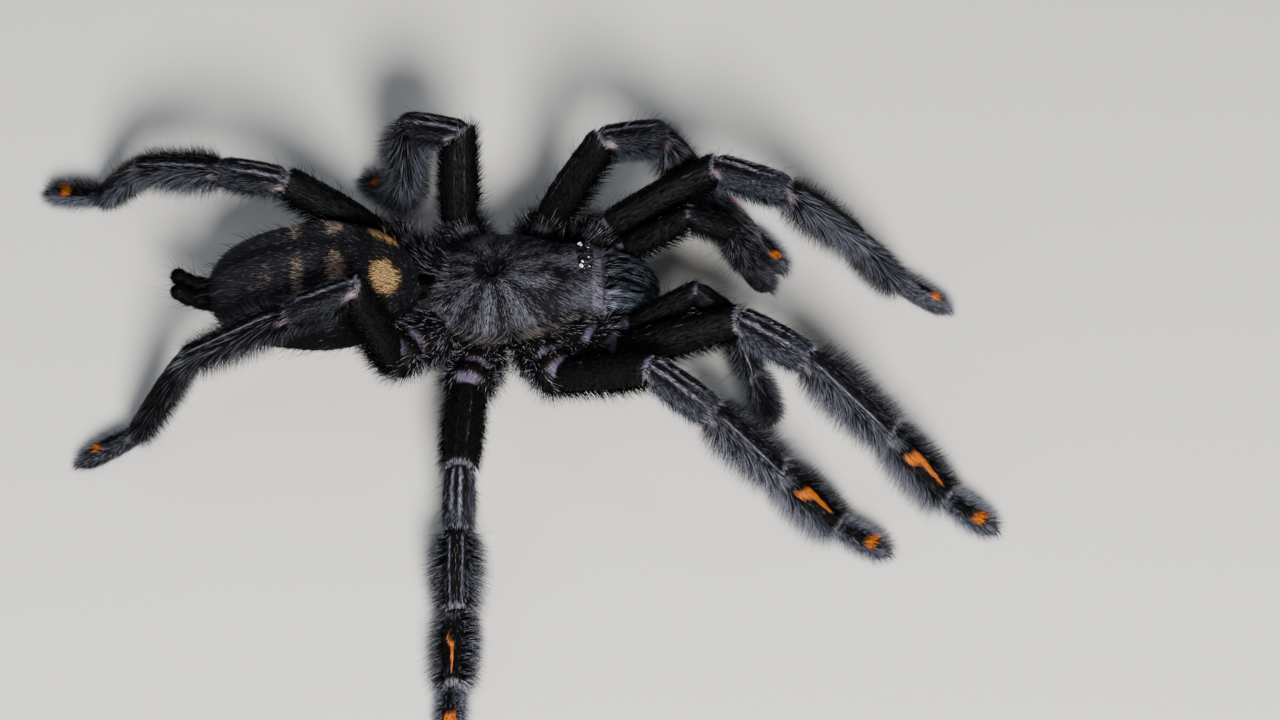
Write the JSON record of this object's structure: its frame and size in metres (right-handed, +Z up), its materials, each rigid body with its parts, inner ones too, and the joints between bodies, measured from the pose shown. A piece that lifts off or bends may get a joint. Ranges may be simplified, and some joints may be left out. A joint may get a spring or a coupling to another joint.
{
  "type": "tarantula model",
  "caption": "Life-size still model of a hairy black tarantula standing with its legs spread, striped pale on the knees and orange on the feet.",
  "frame": {"origin": "centre of the base of the model's bounding box, on the floor it stands on", "axes": "+X towards the head, +Y towards the animal's left, +Z up"},
  "size_m": [0.118, 0.0948, 0.0293],
  "materials": {
    "shell": "short fine hair over dark shell",
    "eyes": "glossy",
    "abdomen": "velvety hair",
    "fangs": "glossy",
    "upper_leg": "short dense hair",
    "lower_leg": "long fringing hair"
  },
  "bodies": {
    "root": {"carapace": "shell", "sternum_and_hips": "shell", "pedicel": "shell", "chelicera_left": "shell", "chelicera_right": "shell", "eye_mound": "eyes", "abdomen": "abdomen", "spinneret_left": "abdomen", "fang_left": "fangs", "palp_left_femur": "upper_leg", "palp_left_patella": "upper_leg", "palp_left_tibia": "lower_leg", "palp_left_tarsus": "lower_leg", "leg_1_left_femur": "upper_leg", "leg_1_left_patella": "upper_leg", "leg_1_left_tibia": "lower_leg", "leg_1_left_metatarsus": "lower_leg", "leg_1_left_tarsus": "lower_leg", "leg_2_left_femur": "upper_leg", "leg_2_left_patella": "upper_leg", "leg_2_left_tibia": "lower_leg", "leg_2_left_metatarsus": "lower_leg", "leg_2_left_tarsus": "lower_leg", "leg_3_left_femur": "upper_leg", "leg_3_left_patella": "upper_leg", "leg_3_left_tibia": "lower_leg", "leg_3_left_metatarsus": "lower_leg", "leg_3_left_tarsus": "lower_leg", "leg_4_left_femur": "upper_leg", "leg_4_left_patella": "upper_leg", "leg_4_left_tibia": "lower_leg", "leg_4_left_metatarsus": "lower_leg", "leg_4_left_tarsus": "lower_leg", "spinneret_right": "abdomen", "fang_right": "fangs", "palp_right_femur": "upper_leg", "palp_right_patella": "upper_leg", "palp_right_tibia": "lower_leg", "palp_right_tarsus": "lower_leg", "leg_1_right_femur": "upper_leg", "leg_1_right_patella": "upper_leg", "leg_1_right_tibia": "lower_leg", "leg_1_right_metatarsus": "lower_leg", "leg_1_right_tarsus": "lower_leg", "leg_2_right_femur": "upper_leg", "leg_2_right_patella": "upper_leg", "leg_2_right_tibia": "lower_leg", "leg_2_right_metatarsus": "lower_leg", "leg_2_right_tarsus": "lower_leg", "leg_3_right_femur": "upper_leg", "leg_3_right_patella": "upper_leg", "leg_3_right_tibia": "lower_leg", "leg_3_right_metatarsus": "lower_leg", "leg_3_right_tarsus": "lower_leg", "leg_4_right_femur": "upper_leg", "leg_4_right_patella": "upper_leg", "leg_4_right_tibia": "lower_leg", "leg_4_right_metatarsus": "lower_leg", "leg_4_right_tarsus": "lower_leg"}
  },
  "joints": []
}
